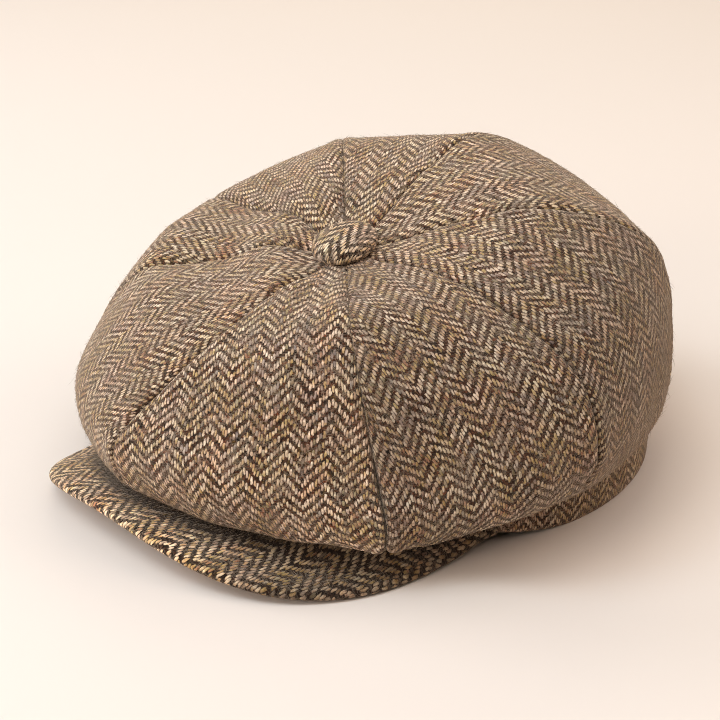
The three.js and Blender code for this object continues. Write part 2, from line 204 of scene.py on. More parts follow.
def crown(n, u, k):
    """Points of panel n at place u across it (0..1) and station k along it."""
    A, B = LINES[n], LINES[(n + 1) % COUNT]
    a, b = A.at(k), B.at(k)
    k0, k1 = np.maximum(0, k - 0.02), np.minimum(LAST, k + 0.02)
    along = unit(A.at(k1) + B.at(k1) - A.at(k0) - B.at(k0))
    chord = b - a
    width = np.linalg.norm(chord, axis=-1, keepdims=True)
    out = unit(np.cross(along, chord / np.maximum(width, 1e-9)))
    flat = unit(vec(chord[..., 1], -chord[..., 0], 0 * chord[..., 0]))
    hump = (4 * u * (1 - u))[..., None]
    low = np.where(k < 6, smooth((k - 4) / 2), 1 - smooth(k - 6))[..., None]
    p = a + chord * u[..., None] + out * puff_at(PUFFS[n], k)[..., None] * width * hump + flat * PUFFS[n]["spread"] * low * width * hump
    for d in DENTS:
        if d["panel"] == n:
            g = np.exp(-(((u - d["across"]) / d["spread_across"]) ** 2) - ((k - d["along"]) / d["spread_along"]) ** 2)
            p = p - out * (d["depth"] * g)[..., None] * hump
    w = smooth(k - (LAST - 1))[..., None]
    turn = (B.join - A.join + math.pi) % (2 * math.pi) - math.pi
    loft = A.at(np.full_like(k, LAST)) * (1 - u[..., None]) + B.at(np.full_like(k, LAST)) * u[..., None]
    return sag(p + (join_point(A.join + turn * u) - loft) * w)


# ---------------------------------------------------------------- smooth noise on arrays
def noise(x, y, seed):
    """Value noise in about -1..1, period 1 in x and y."""
    r = np.random.default_rng(seed).uniform(-1, 1, (64, 64))
    xi, yi = np.floor(x).astype(int), np.floor(y).astype(int)
    fx, fy = smooth(x - xi), smooth(y - yi)
    g = lambda i, j: r[(xi + i) % 64, (yi + j) % 64]
    return (g(0, 0) * (1 - fx) + g(1, 0) * fx) * (1 - fy) + (g(0, 1) * (1 - fx) + g(1, 1) * fx) * fy


# ---------------------------------------------------------------- meshes from grids
def grid_normals(p, wrap=False):
    if wrap:
        du = np.roll(p, -1, 1) - np.roll(p, 1, 1)
    else:
        du = np.gradient(p, axis=1)
    dk = np.gradient(p, axis=0)
    return unit(np.cross(dk, du))


def make_piece(name, verts, faces, weave, material, smooth_faces=True, seam_and_painted_shade=None, nap=None):
    """A mesh piece from points in the cap frame (mm), with the flat place of each point in the cloth (mm) as an attribute."""
    me = bpy.data.meshes.new(name)
    co = ((np.asarray(verts) + SHIFT) / 1000).astype(np.float32)
    f = np.asarray(faces, np.int32)
    me.vertices.add(len(co))
    me.vertices.foreach_set("co", co.ravel())
    sides = f.shape[1]
    me.loops.add(f.size)
    me.loops.foreach_set("vertex_index", f.ravel())
    me.polygons.add(len(f))
    me.polygons.foreach_set("loop_start", np.arange(0, f.size, sides, dtype=np.int32))
    me.polygons.foreach_set("loop_total", np.full(len(f), sides, np.int32))
    me.update(calc_edges=True)
    me.polygons.foreach_set("use_smooth", np.full(len(f), smooth_faces))
    at = me.attributes.new("weave", "FLOAT_VECTOR", "POINT")
    at.data.foreach_set("vector", np.asarray(weave, np.float32).ravel())
    # these two attributes carry painted shade: dark seam lines (partly the dark joint), the fold over the peak, and
    # darker cloth in given places
    for label, values in (("seam_and_painted_shade", seam_and_painted_shade), ("nap", nap)):
        if values is not None:
            me.attributes.new(label, "FLOAT", "POINT").data.foreach_set("value", np.asarray(values, np.float32).ravel())
    me.validate()
    me.materials.append(material)
    ob = bpy.data.objects.new(name, me)
    bpy.context.scene.collection.objects.link(ob)
    return ob


def sheet_faces(rows, columns, wrap=False):
    """Quads of a closed wall: outer grid first, then inner grid, then the rims."""
    r, c = np.meshgrid(np.arange(rows - 1), np.arange(columns if wrap else columns - 1), indexing="ij")
    r, c = r.ravel(), c.ravel()
    c1 = (c + 1) % columns
    size = rows * columns
    idx = lambda side, rr, cc: side * size + rr * columns + cc
    faces = [np.stack([idx(0, r, c), idx(0, r + 1, c), idx(0, r + 1, c1), idx(0, r, c1)], 1),
             np.stack([idx(1, r, c), idx(1, r, c1), idx(1, r + 1, c1), idx(1, r + 1, c)], 1)]
    cc = np.arange(columns if wrap else columns - 1)
    cn = (cc + 1) % columns
    e = rows - 1
    faces.append(np.stack([idx(0, 0, cc), idx(0, 0, cn), idx(1, 0, cn), idx(1, 0, cc)], 1))
    faces.append(np.stack([idx(0, e, cc), idx(1, e, cc), idx(1, e, cn), idx(0, e, cn)], 1))
    if not wrap:
        rr = np.arange(rows - 1)
        z, l = 0, columns - 1
        faces.append(np.stack([idx(0, rr, z), idx(1, rr, z), idx(1, rr + 1, z), idx(0, rr + 1, z)], 1))
        faces.append(np.stack([idx(0, rr, l), idx(0, rr + 1, l), idx(1, rr + 1, l), idx(1, rr, l)], 1))
    return np.concatenate(faces)


def relax(p, q, steps):
    """Moves the flat places q of a curved grid p until their distances are those of the cloth."""
    rows, columns = p.shape[:2]
    links = [((slice(None), slice(0, -1)), (slice(None), slice(1, None))), ((slice(0, -1), slice(None)), (slice(1, None), slice(None))),
             ((slice(0, -1), slice(0, -1)), (slice(1, None), slice(1, None))), ((slice(1, None), slice(0, -1)), (slice(0, -1), slice(1, None))),
             ((slice(0, -4), slice(None)), (slice(4, None), slice(None))), ((slice(None), slice(0, -4)), (slice(None), slice(4, None)))]
    rest = [np.linalg.norm(p[a] - p[b], axis=2, keepdims=True) for a, b in links]
    for _ in range(steps):
        move, weight = np.zeros_like(q), np.zeros((rows, columns, 1))
        for (a, b), l in zip(links, rest):
            d = q[b] - q[a]
            now = np.linalg.norm(d, axis=2, keepdims=True)
            push = d * (0.5 * (now - l) / np.maximum(now, 1e-6))
            w = 1 / np.maximum(l, 0.3)
            move[a] += push * w
            move[b] -= push * w
            weight[a] += w
            weight[b] += w
        q = q + 0.9 * move / weight
    return q


def flatten(p, steps=260):
    """Lays a curved grid of cloth flat: across and along places in mm, with the middle line straight."""
    rows, columns = p.shape[:2]
    mid = columns // 2
    du = np.linalg.norm(np.diff(p, axis=1), axis=2)
    across = np.concatenate([np.zeros((rows, 1)), np.cumsum(du, 1)], 1)
    across -= across[:, mid:mid + 1]
    dv = np.linalg.norm(np.diff(p[:, mid], axis=0), axis=1)
    along = np.concatenate([[0], np.cumsum(dv)])
    return relax(p, np.stack([across, np.repeat(along[:, None], columns, 1)], 2), steps)


# ---------------------------------------------------------------- materials
class Net:
    """Small helper that writes shader arithmetic as nodes of one tree."""

    def __init__(self, tree):
        self.tree = tree

    def node(self, kind, **settings):
        n = self.tree.nodes.new(kind)
        for key, value in settings.items():
            setattr(n, key, value)
        return n

    def put(self, socket, value):
        if isinstance(value, Term):
            self.tree.links.new(value.socket, socket)
        else:
            socket.default_value = value

    def math(self, op, *values):
        n = self.node("ShaderNodeMath", operation=op)
        for s, v in zip(n.inputs, values):
            self.put(s, v)
        return Term(self, n.outputs[0])

    def join(self, x, y, z=0.0):
        n = self.node("ShaderNodeCombineXYZ")
        for s, v in zip(n.inputs, (x, y, z)):
            self.put(s, v)
        return Term(self, n.outputs[0])

    def noise(self, place, scale, detail=2.0, rough=0.5):
        n = self.node("ShaderNodeTexNoise", noise_dimensions="3D")
        self.put(n.inputs["Vector"], place)
        n.inputs["Scale"].default_value = scale
        n.inputs["Detail"].default_value = detail
        n.inputs["Roughness"].default_value = rough
        return Term(self, n.outputs["Fac"] if "Fac" in n.outputs else n.outputs[0])

    def chance(self, place):
        n = self.node("ShaderNodeTexWhiteNoise", noise_dimensions="3D")
        self.put(n.inputs["Vector"], place)
        return Term(self, n.outputs["Value"])

    def ramp(self, fac, stops, mode="LINEAR"):
        n = self.node("ShaderNodeValToRGB")
        n.color_ramp.interpolation = mode
        e = n.color_ramp.elements
        while len(e) < len(stops):
            e.new(0.5)
        for item, (at, colour) in zip(e, stops):
            item.position = at
            item.color = (*colour, 1)
        self.put(n.inputs["Fac"], fac)
        return Term(self, n.outputs["Color"])

    def mix(self, fac, a, b, blend="MIX"):
        n = self.node("ShaderNodeMix", data_type="RGBA", blend_type=blend)
        self.put(n.inputs["Factor"], fac)
        for s, v in ((n.inputs["A"], a), (n.inputs["B"], b)):
            pass
        ins = [s for s in n.inputs if s.type == "RGBA"]
        for s, v in zip(ins, (a, b)):
            self.put(s, v if isinstance(v, Term) else (*v, 1))
        return Term(self, [s for s in n.outputs if s.type == "RGBA"][0])


class Term:
    def __init__(self, net, socket):
        self.net, self.socket = net, socket

    def __add__(self, o): return self.net.math("ADD", self, o)
    def __radd__(self, o): return self.net.math("ADD", o, self)
    def __sub__(self, o): return self.net.math("SUBTRACT", self, o)
    def __rsub__(self, o): return self.net.math("SUBTRACT", o, self)
    def __mul__(self, o): return self.net.math("MULTIPLY", self, o)
    def __rmul__(self, o): return self.net.math("MULTIPLY", o, self)
    def __truediv__(self, o): return self.net.math("DIVIDE", self, o)
    def floor(self): return self.net.math("FLOOR", self)
    def mod(self, n): return self.net.math("FLOORED_MODULO", self, n)
    def below(self, n): return self.net.math("LESS_THAN", self, n)
    def power(self, n): return self.net.math("POWER", self, n)
    def abs(self): return self.net.math("ABSOLUTE", self)
    def high(self, n): return self.net.math("MAXIMUM", self, n)
    def clip(self): return self.net.math("MINIMUM", self.net.math("MAXIMUM", self, 0.0), 1.0)

    def step(self, lo, hi):
        n = self.net.node("ShaderNodeMapRange", interpolation_type="SMOOTHSTEP")
        self.net.put(n.inputs["Value"], self)
        n.inputs["From Min"].default_value, n.inputs["From Max"].default_value = lo, hi
        return Term(self.net, n.outputs["Result"])


def srgb(r, g, b):
    return tuple(((c / 255 / 12.92) if c / 255 <= 0.04045 else ((c / 255 + 0.055) / 1.055) ** 2.4) for c in (r, g, b))


def tweed(name="tweed", weft=1.0, warp=(1.0, 1.0, 1.0), fuzz=1.0):
    """Herringbone tweed: pale heathered floats along the cloth over a dark weft, from the flat place of each point."""
    m = bpy.data.materials.new(name)
    m.use_nodes = True
    t = m.node_tree
    t.nodes.clear()
    net = Net(t)
    at = net.node("ShaderNodeAttribute", attribute_name="weave", attribute_type="GEOMETRY")
    place = Term(net, at.outputs["Vector"])
    split = net.node("ShaderNodeSeparateXYZ")
    net.put(split.inputs[0], place)
    U, V, seed = (Term(net, s) for s in split.outputs)
    swapped = net.join(V, U, seed + 7.3)

    # yarns wander a little
    u = U + (net.noise(place, 0.06, 1.0) - 0.5) * 2.0 + (net.noise(place, 0.55, 1.0) - 0.5) * 0.9
    v = V + (net.noise(swapped, 0.06, 1.0) - 0.5) * 2.0 + (net.noise(swapped, 0.55, 1.0) - 0.5) * 1.4

    a, b = u / WEAVE["end"], v / WEAVE["pick"]
    i = a.floor()
    fx = a - i
    column = (i / float(WEAVE["ends_per_column"])).floor()
    odd = column.mod(2.0)
    way = 1.0 - odd * 2.0
    run = way * i + odd * 2.0 + b + (net.chance(net.join(i, seed, 9.0)) - 0.5) * 0.24
    cell = ((run + 1.0) / 4.0).floor()
    luck = net.chance(net.join(i, cell, seed))
    luck2 = net.chance(net.join(i, cell, seed + 31.0))
    luck3 = net.chance(net.join(i, cell, seed + 57.0))

    # one float: a soft rod over two picks with tapered ends, close beside the next one in the twill line
    y = (run - cell * 4.0 - 1.0 + (luck - 0.5) * 0.30).abs() / (1.24 + (luck2 - 0.5) * 0.40)
    x = (fx * 2.0 - 1.0 + (luck3 - 0.5) * 0.26).abs()
    body = 1.0 - (x / 0.99).power(2.8) - y.power(2.4)
    speck = (net.noise(net.join(U, V * 0.6, seed), 1.25, 2.0, 0.7) - 0.5) * 2.2 + 0.5
    hair = (net.noise(net.join(U, V * 0.35, seed + 3.0), 2.1, 1.0) - 0.5) * 2.4
    float_mask = (body + (speck - 0.5) * 0.85 + hair * 0.25).step(0.00, 0.56)
    float_high = body.high(0.0).power(0.6)

    # weft between the floats, rounded along its own way
    j = b.floor()
    wy = ((b - j) * 2.0 - 1.0).abs()
    weft_high = (1.0 - wy.power(2.2)).high(0.0).power(0.6)

    # colours change along each yarn and drift over the cloth
    drift = net.noise(net.join(U, V * 0.6, seed + 11.0), 0.10, 2.0, 0.6) - 0.5
    drift2 = net.noise(net.join(U * 0.8, V * 0.5, seed + 23.0), 0.17, 2.0, 0.6) - 0.5
    yarn = net.noise(net.join(i * 7.13, V * 0.22, seed), 1.0, 1.0) - 0.5
    pick_at = yarn * 1.7 + drift * 2.1 + (luck - 0.5) * 0.30 + 0.5
    pale = net.ramp(pick_at, ((0.00, srgb(152, 135, 126)), (0.18, srgb(200, 178, 159)), (0.34, srgb(230, 211, 188)), (0.56, srgb(224, 199, 170)),
                              (0.70, srgb(206, 174, 134)), (0.85, srgb(182, 160, 108)), (1.00, srgb(172, 130, 104))))
    rust = (drift2 * 3.2 + (luck3 - 0.5) * 0.8).step(0.25, 0.85) * 0.5
    pale = net.mix(rust * 0.85, pale, srgb(160, 114, 90))
    tone = net.noise(net.join(U, V * 0.7, seed + 19.0), 0.21, 2.0, 0.6) - 0.5
    # painted shade: each float is painted lighter along its crest and darker towards its sides and ends, as on a round
    # yarn
    pale = net.mix(1.0, pale, net.ramp(luck2 * 0.26 + tone * 0.75 + (speck - 0.5) * 0.58 + hair * 0.22 + float_high * 0.34 + 0.16, ((0.0, (0.13, 0.11, 0.095)), (0.5, (0.95 * warp[0], 0.845 * warp[1], 0.79 * warp[2])), (1.0, (1.55 * warp[0], 1.59 * warp[1], 1.62 * warp[2])))), "MULTIPLY")
    slub = net.chance(net.join(i, ((V + i * 3.7) / 9.0).floor(), seed + 71.0))
    fleck = net.ramp(net.chance(net.join(i, ((V + i * 3.7) / 9.0).floor(), seed + 73.0)),
                     ((0.0, srgb(148, 106, 82)), (0.20, srgb(186, 148, 84)), (0.44, srgb(122, 114, 74)), (0.64, srgb(104, 102, 108)), (0.80, srgb(70, 58, 52)), (0.90, srgb(240, 222, 194))), "CONSTANT")
    pale = net.mix(slub.step(0.84, 0.86) * 0.60, pale, fleck)
    pile = net.noise(net.join(U * 0.22, j * 5.7, seed + 9.0), 1.0, 1.0) - 0.5
    dark_at = pile * 1.9 + drift2 * 1.5 + (net.chance(net.join(j, (a / 2.0).floor(), seed + 4.0)) - 0.5) * 0.35 + 0.5
    dark = net.ramp(dark_at, ((0.00, srgb(38, 30, 27)), (0.22, srgb(68, 45, 34)), (0.45, srgb(100, 68, 52)), (0.60, srgb(76, 50, 39)),
                              (0.74, srgb(94, 78, 46)), (0.88, srgb(66, 60, 59)), (1.00, srgb(116, 70, 50))))
    # painted shade: each weft pick is painted lighter along its middle and darker at its edges
    dark = net.mix(1.0, dark, net.ramp(weft_high * 0.24 + (speck - 0.5) * 1.05 + hair * 0.22 + 0.20, ((0.0, (0.08 * weft, 0.065 * weft, 0.06 * weft)), (0.5, (0.77 * weft, 0.63 * weft, 0.53 * weft)), (1.0, (2.02 * weft, 1.63 * weft, 1.36 * weft)))), "MULTIPLY")
    colour = net.mix(float_mask, dark, pale)

    # loose fibre lying over both: fine crossing lines and a patchy nap that greys the pattern
    line1 = (net.noise(net.join(U + V * 0.5, V * 0.8 - U * 0.3, seed + 41.0), 0.42, 1.0) - 0.5).abs().step(0.034, 0.006)
    line2 = (net.noise(net.join(U * 0.8 - V * 0.6, V + U * 0.4, seed + 67.0), 0.50, 1.0) - 0.5).abs().step(0.030, 0.004)
    loose = net.noise(net.join(U, V, seed + 83.0), 0.13, 2.0, 0.55)
    line3 = (net.noise(net.join(U * 0.5 + V * 0.9, V * 0.3 - U, seed + 59.0), 0.62, 1.0) - 0.5).abs().step(0.030, 0.006)
    lines = (line1 + line2 + line3).clip() * loose.step(0.30, 0.62)
    colour = net.mix(lines * 0.40, colour, srgb(188, 166, 144))
    nap = loose.step(0.46, 0.74) * (0.30 * fuzz) + 0.03 * fuzz
    colour = net.mix(nap * speck.step(0.30, 0.75), colour, srgb(144, 117, 95))

    # the wool was dyed in lots: soft patches run redder, greener, greyer
    patch = net.noise(net.join(U, V * 0.8, seed + 97.0), 0.09, 2.0, 0.55)
    colour = net.mix(1.0, colour, net.ramp(patch, ((0.28, (1.09, 0.98, 0.94)), (0.42, (1.04, 1.00, 0.98)), (0.52, (0.98, 1.00, 0.99)), (0.62, (1.01, 1.02, 0.91)), (0.74, (0.90, 0.92, 0.96)))), "MULTIPLY")

    # painted shade: dark lines in the seam grooves (partly the dark joint itself) and in the fold where the crown lies
    # over the peak
    painted_fold_shade = net.node("ShaderNodeAttribute", attribute_name="seam_and_painted_shade", attribute_type="GEOMETRY")
    colour = net.mix(Term(net, painted_fold_shade.outputs["Fac"]), colour, srgb(22, 16, 13))
    # painted shade: the cloth is painted darker in given places, most low down on the front-right and right panels, on
    # the band and towards the right end of the peak
    painted_shade = net.node("ShaderNodeAttribute", attribute_name="nap", attribute_type="GEOMETRY")
    colour = net.mix(Term(net, painted_shade.outputs["Fac"]), colour, srgb(26, 17, 11))

    high = float_high + (1.0 - float_mask) * weft_high * 0.40 + speck * 0.42 + lines * 0.25
    bump = net.node("ShaderNodeBump")
    bump.inputs["Strength"].default_value = 1.0
    bump.inputs["Distance"].default_value = 0.00050
    net.put(bump.inputs["Height"], high)

    p = net.node("ShaderNodeBsdfPrincipled")
    net.put(p.inputs["Base Color"], colour)
    t.links.new(bump.outputs["Normal"], p.inputs["Normal"])
    p.inputs["Roughness"].default_value = 0.92
    p.inputs["Specular IOR Level"].default_value = 0.12
    p.inputs["Sheen Weight"].default_value = 0.60
    p.inputs["Sheen Roughness"].default_value = 0.45
    p.inputs["Sheen Tint"].default_value = (*srgb(236, 214, 192), 1)
    out = net.node("ShaderNodeOutputMaterial")
    t.links.new(p.outputs[0], out.inputs["Surface"])
    return m


def fibre():
    """Stray wool fibres: pale heathered hair."""
    m = bpy.data.materials.new("stray_fibre")
    m.use_nodes = True
    t = m.node_tree
    t.nodes.clear()
    net = Net(t)
    at = net.node("ShaderNodeAttribute", attribute_name="weave", attribute_type="GEOMETRY")
    split = net.node("ShaderNodeSeparateXYZ")
    t.links.new(at.outputs["Vector"], split.inputs[0])
    colour = net.ramp(Term(net, split.outputs[0]), ((0.0, srgb(104, 84, 68)), (0.3, srgb(162, 138, 116)), (0.7, srgb(194, 174, 152)), (1.0, srgb(178, 148, 106))))
    p = net.node("ShaderNodeBsdfPrincipled")
    net.put(p.inputs["Base Color"], colour)
    p.inputs["Roughness"].default_value = 0.75
    p.inputs["Specular IOR Level"].default_value = 0.25
    out = net.node("ShaderNodeOutputMaterial")
    t.links.new(p.outputs[0], out.inputs["Surface"])
    return m


TWEED, FIBRE = tweed(), fibre()
# drawn tight over peak and button, so its pattern is clearer
PRESSED = tweed("tweed_pressed", 0.45, (1.38, 1.31, 1.18), 0.3)
COVER = tweed("tweed_cover", 0.42, (1.13, 1.14, 1.14), 0.2)

# ---------------------------------------------------------------- crown panels
ACROSS, ALONG = 84, 124
t = np.linspace(0, 1, ACROSS + 1)
PLACES = np.where(t < 0.5, 0.5 * (2 * t) ** 1.35, 1 - 0.5 * (2 * (1 - t)) ** 1.35)
reach = np.linspace(0, 1, 4001)
tip = max(float(reach[np.argmax(np.linalg.norm(l.at(reach) - l.at(0.0), axis=1) >= TIP)]) for l in LINES)
STATIONS = tip + (LAST - tip) * np.linspace(0, 1, ALONG + 1)
KK, UU = np.meshgrid(STATIONS, PLACES, indexing="ij")

BASE = [crown(n, UU, KK) for n in range(COUNT)]
NORMAL = [grid_normals(p) for p in BASE]
SEAM_NORMAL = [unit(NORMAL[n][:, 0] + NORMAL[n - 1][:, -1]) for n in range(COUNT)]   # at seam n


def seam_depth(n, k):
    g = GROOVES[n % COUNT]
    d = g["top"] + (g["low"] - g["top"]) * smooth((k - 2.5) / 2.5)
    run = k * 9.0
    return d * (1 + 0.35 * noise(run, run * 0 + 0.5, 40 + n % COUNT)) * smooth((k - 0.4) / 0.8)


def seam_shade(n, k):
    """How much painted shade lies on the line of seam n (0..1), partly the dark joint itself: the fold of the front
    seam opens low down and is painted darkest there.
    """
    g = GROOVES[n]
    run = k * 7.0
    return np.clip((g["dark_top"] + (g["dark_low"] - g["dark_top"]) * smooth((k - 3.6) / 1.4)) * (1 + 0.4 * noise(run, run * 0 + 0.5, 50 + n)), 0, 1) * smooth((k - 0.6) / 0.8)


def panel_relief(n):
    """How far the cloth stands off its plain form (mm): seam grooves, the swell beside them, puckers, creases and slack."""
    p = BASE[n]
    width = np.linalg.norm(np.diff(p, axis=1), axis=2).sum(1)[:, None]
    relief = np.zeros_like(UU)
    for seam_and_painted_shade, dist in ((n, UU * width), (n + 1, (1 - UU) * width)):
        g = GROOVES[seam_and_painted_shade % COUNT]
        depth = seam_depth(seam_and_painted_shade, KK)
        relief -= depth * np.exp(-dist / g["width"])
        relief += 0.24 * depth * np.exp(-(((dist - 3.8) / 2.4) ** 2))
        ripple = noise(KK * 3.4 + 3.1 * seam_and_painted_shade, dist / 14, 60 + seam_and_painted_shade % COUNT) + 0.6 * noise(KK * 7.5, dist / 9, 70 + seam_and_painted_shade % COUNT)
        relief += 0.75 * ripple * np.exp(-dist / 9.0) * (1 - np.exp(-dist / 1.4)) * smooth((KK - 1.0) / 1.0)
    for c in CREASES:
        if c["panel"] == n:
            s = ((UU - c["u0"]) * (c["u1"] - c["u0"]) * 95**2 + (KK - c["k0"]) * (c["k1"] - c["k0"]) * 26**2)
            l2 = ((c["u1"] - c["u0"]) * 95) ** 2 + ((c["k1"] - c["k0"]) * 26) ** 2
            s = np.clip(s / l2, 0, 1)
            away = np.hypot((UU - c["u0"] - s * (c["u1"] - c["u0"])) * 95, (KK - c["k0"] - s * (c["k1"] - c["k0"])) * 26)
            relief += c["height"] * np.exp(-((away / c["width"]) ** 2)) * np.sin(np.pi * np.clip(s * 0.8 + 0.1, 0, 1))
    inside = 4 * UU * (1 - UU)
    slack = noise(UU * 3.0 + n, KK * 0.9 + 2 * n, 80 + n) * 0.8 + noise(UU * 6.0, KK * 1.9, 90 + n) * 0.35
    relief += slack * inside**0.7 * smooth((KK - 0.8) / 1.5)
    gather = noise(UU * 9 + n, KK * 0.8, 100 + n)
    relief += 0.55 * gather * smooth((KK - 5.4) / 0.9) * inside**0.5
    return relief


# painted shade on each panel: how much darker it is painted at the top and at the foot
PAINTED_SHADE_AND_PILE = ROWS(("top", "low"), ((0, 0.04), (0.12, 0.34), (0, 0.39), (0, 0.08), (0, 0), (0, 0), (0, 0), (0.02, 0.05)))

SURFACES = []                                  # outer grids kept for the stray fibres
for n in range(COUNT):
    p, nv = BASE[n], NORMAL[n].copy()
    width = np.linalg.norm(np.diff(p, axis=1), axis=2).sum(1)[:, None]
    for seam_and_painted_shade, dist in ((n, UU * width), ((n + 1) % COUNT, (1 - UU) * width)):
        w = np.exp(-dist / 2.0)[..., None]
        nv = nv * (1 - w) + SEAM_NORMAL[seam_and_painted_shade][:, None, :] * w
    nv = unit(nv)
    outer = p + nv * panel_relief(n)[..., None]
    side = unit(np.gradient(p, axis=1))
    ease = 0.03
    outer[:, 0] += side[:, 0] * ease
    outer[:, -1] -= side[:, -1] * ease
    inner = outer - nv * CLOTH
    flat = flatten(outer)
    cut = math.radians(GRAINS[n]["deg"])
    off = flat - flat[ALONG // 2, ACROSS // 2]
    grain = np.stack([off[..., 0] * math.cos(cut) + off[..., 1] * math.sin(cut) + GRAINS[n]["shift"],
                      off[..., 1] * math.cos(cut) - off[..., 0] * math.sin(cut)], 2)
    weave = np.concatenate([grain, np.full(flat.shape[:2] + (1,), 17.0 * n + 3.0)], 2)
    verts = np.concatenate([outer.reshape(-1, 3), inner.reshape(-1, 3)])
    wv = np.concatenate([weave.reshape(-1, 3)] * 2)
    # painted shade: dark lines in the seam grooves, partly the dark joint itself
    line = sum(seam_shade(i, KK) * np.exp(-((d / 0.75) ** 2)) for i, d in ((n, UU * width), ((n + 1) % COUNT, (1 - UU) * width)))
    # painted shade: the panel is painted darker at its top and foot as its row of the table gives
    painted_shade = PAINTED_SHADE_AND_PILE[n]["top"] + (PAINTED_SHADE_AND_PILE[n]["low"] - PAINTED_SHADE_AND_PILE[n]["top"]) * smooth((KK - 1.8) / 2.4)
    ob = make_piece(f"panel_{n + 1}", verts, sheet_faces(ALONG + 1, ACROSS + 1), wv, TWEED,
                    seam_and_painted_shade=np.concatenate([line.ravel()] * 2), nap=np.concatenate([painted_shade.ravel()] * 2))
    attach(ob, "root")
    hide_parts(f"crown_panel_{n + 1}")
    f"crown_panel_{n + 1}"
    span = flat.reshape(-1, 2).max(0) - flat.reshape(-1, 2).min(0)
    e1, e2 = flat[1:, 1:] - flat[:-1, :-1], flat[1:, :-1] - flat[:-1, 1:]
    area = float(np.abs(e1[..., 0] * e2[..., 1] - e1[..., 1] * e2[..., 0]).sum() / 2)
    span / 1000
    SURFACES.append(("crown", n, outer, grid_normals(outer)))

# ---------------------------------------------------------------- band
ROUND, UP = 420, 22
angle = np.linspace(0, 2 * np.pi, ROUND, endpoint=False)
AA, ZZ = np.meshgrid(angle, np.linspace(0, 1, UP + 1), indexing="xy")
AA, ZZ = AA, ZZ                                 # rows go up, columns go round
ring = on_band(angle, 0.0, 0 * angle)
step = np.linalg.norm(np.roll(ring, -1, 0) - ring, axis=1)
around = np.concatenate([[0], np.cumsum(step)[:-1]])
GIRTH = float(step.sum())
wave = 0.5 * noise(AA * 5 / np.pi * 2, ZZ * 1.5, 120) + 0.25 * noise(AA * 20 / np.pi, ZZ * 3, 121)
edge = np.clip(1 - ZZ * BAND["height"] / 1.1, 0, 1)      # the folded lower edge is rounded
height = ZZ * BAND["height"]
back_seam = np.exp(-np.abs((AA - np.pi) * 92.0) / 1.4)
outer = on_band(AA, -(1 - np.sqrt(1 - 0.98 * edge**2)) * 1.1 + wave * smooth(ZZ * 3) * (1 - smooth((ZZ - 0.8) * 5)) * 0.8 - 0.7 * back_seam,
                band_lift(AA) + height)
inner = on_band(AA, -BAND["wall"] + (1 - np.sqrt(1 - 0.98 * edge**2)) * 1.1, band_lift(AA) + height)
flat_u = np.where(AA < np.pi, around[None, :], around[None, :] - GIRTH) + 0 * ZZ
weave = np.stack([flat_u, height, np.full_like(height, 207.0)], 2)
rows = UP + 1
faces = sheet_faces(rows, ROUND, wrap=True)
# painted shade: the whole band is painted a little darker
band = make_piece("outer_band", np.concatenate([outer.reshape(-1, 3), inner.reshape(-1, 3)]), faces[:, ::-1],
                  np.concatenate([weave.reshape(-1, 3)] * 2), TWEED, nap=np.full(outer.shape[:2], 0.18).repeat(2))
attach(band, "root")
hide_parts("band")
SURFACES.append(("band", 0, outer, -grid_normals(outer, True)))

# ---------------------------------------------------------------- peak
def arch_z(x):
    return PEAK["arch"] * (1 - np.minimum(1, np.abs((x - PEAK["centre_x"]) / PEAK["half_width"])) ** 2)


def peak_edge(f):
    sign = np.where(f < 0, -1.0, 1.0)
    end = math.radians(PEAK["end_deg"])
    end_point = on_band(np.array(end), GAP + PEAK["end_width"], 0.0)
    turn, t = 0.84, np.abs(f)
    th = np.minimum(t / turn, 1) * np.pi / 2
    e = 2 / np.where(f < 0, PEAK["roundness"], PEAK["left_roundness"])
    x1 = PEAK["half_width"] * np.sin(th) ** e
    y1 = PEAK["side_y"] - PEAK["depth"] * np.abs(np.cos(th)) ** e
    s = np.clip((t - turn) / (1 - turn), 0, 1)
    x2 = PEAK["half_width"] + (end_point[0] - sign * PEAK["centre_x"] - PEAK["half_width"]) * smooth(s)
    y2 = PEAK["side_y"] + (end_point[1] - PEAK["side_y"]) * s
    x, y = np.where(t < turn, x1, x2), np.where(t < turn, y1, y2)
    px = PEAK["centre_x"] + sign * x
    w = smooth((t - 0.78) / 0.22)
    return vec(px, y, arch_z(px) * (1 - w) + float(band_lift(np.array(end))) * w)


WIDE, OUT, NOSE = 220, 44, 8
f = np.linspace(-1, 1, WIDE + 1)
g = np.sign(f) * np.abs(f) ** 1.15
root_angle = math.radians(PEAK["end_deg"]) * g
root = on_band(root_angle, GAP, band_lift(root_angle))
stretched = peak_edge(g)
WALL = np.array([0, 0, PEAK["wall"]])
edge = sag(stretched + WALL) - WALL
